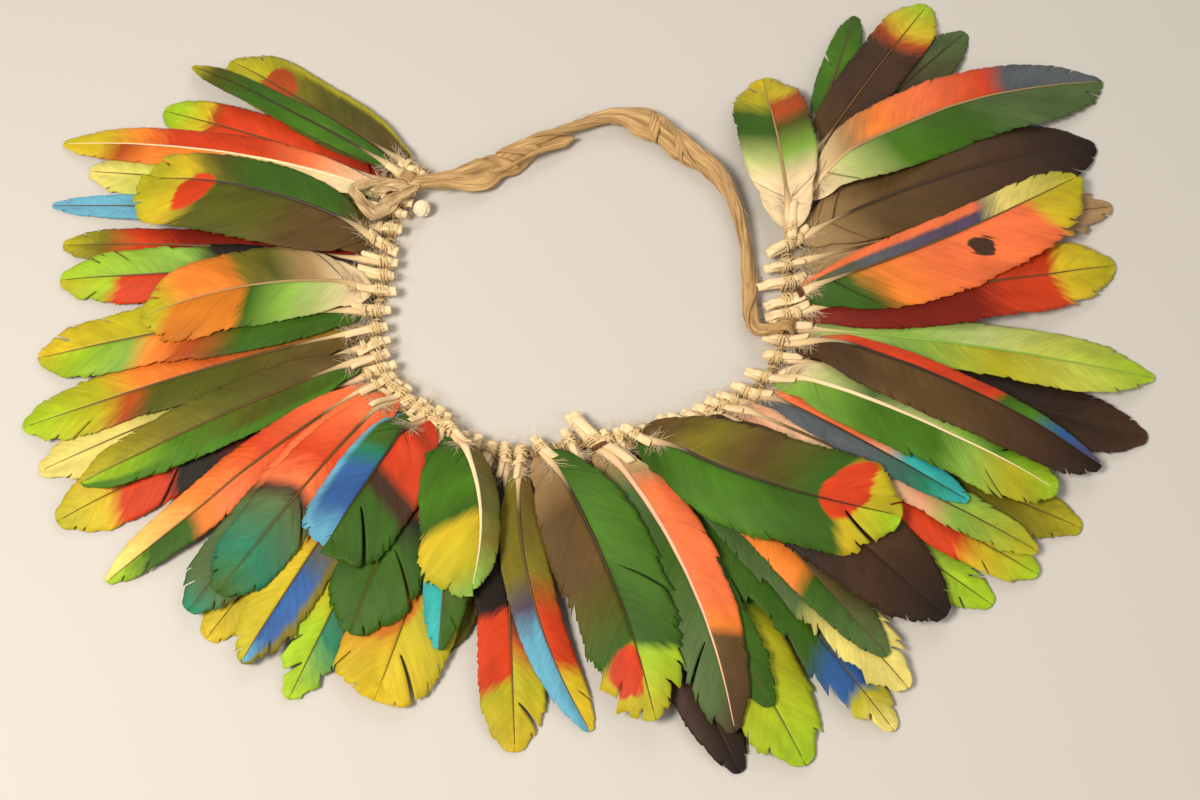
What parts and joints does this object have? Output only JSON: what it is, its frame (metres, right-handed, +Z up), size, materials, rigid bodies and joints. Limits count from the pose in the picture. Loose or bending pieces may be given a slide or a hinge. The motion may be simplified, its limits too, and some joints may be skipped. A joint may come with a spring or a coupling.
{
  "type": "feathered headdress",
  "caption": "Ring of green, red, yellow and brown wing and tail feathers tied by their quills to a plant-fibre cord, closed by a twisted bark strip, lying flat.",
  "frame": {"origin": "middle of the part's box in plan, on the surface that it lies on", "axes": "+Z up out of the surface, +X along the longest extent from the left side to the right side, -Y towards the front of the ring and +Y towards the strap"},
  "size_m": [0.4914, 0.3738, 0.0237],
  "materials": {
    "fibre": "twisted plant fibre, matte",
    "bark": "twisted bark strip, matte",
    "olive_feather": "feather vane, satin",
    "green_feather": "feather vane, satin",
    "red_feather": "feather vane, satin",
    "orange_feather": "feather vane, satin",
    "yellow_feather": "feather vane, satin",
    "blue_feather": "feather vane, satin",
    "brown_feather": "feather vane, satin",
    "grey_feather": "feather vane, satin"
  },
  "bodies": {
    "root": {"base_cord": "fibre", "tie_strap": "bark", "feather_01": "olive_feather", "feather_02": "green_feather", "feather_03": "red_feather", "feather_04": "orange_feather", "feather_05": "yellow_feather", "feather_06": "blue_feather", "feather_07": "green_feather", "feather_08": "red_feather", "feather_09": "red_feather", "feather_10": "orange_feather", "feather_11": "green_feather", "feather_12": "olive_feather", "feather_13": "yellow_feather", "feather_14": "olive_feather", "feather_15": "red_feather", "feather_16": "red_feather", "feather_17": "green_feather", "feather_18": "red_feather", "feather_19": "yellow_feather", "feather_20": "yellow_feather", "feather_21": "green_feather", "feather_22": "yellow_feather", "feather_23": "green_feather", "feather_24": "green_feather", "feather_25": "blue_feather", "feather_26": "yellow_feather", "feather_27": "brown_feather", "feather_28": "red_feather", "feather_29": "olive_feather", "feather_30": "green_feather", "feather_31": "brown_feather", "feather_32": "green_feather", "feather_33": "green_feather", "feather_34": "yellow_feather", "feather_35": "green_feather", "feather_36": "yellow_feather", "feather_37": "yellow_feather", "feather_38": "orange_feather", "feather_39": "brown_feather", "feather_40": "green_feather", "feather_41": "red_feather", "feather_42": "yellow_feather", "feather_43": "olive_feather", "feather_44": "blue_feather", "feather_45": "green_feather", "feather_46": "brown_feather", "feather_47": "brown_feather", "feather_48": "yellow_feather", "feather_49": "red_feather", "feather_50": "red_feather", "feather_51": "red_feather", "feather_52": "grey_feather", "feather_53": "brown_feather", "feather_54": "green_feather", "feather_55": "green_feather", "feather_56": "grey_feather", "feather_57": "brown_feather", "feather_58": "green_feather"}
  },
  "joints": []
}
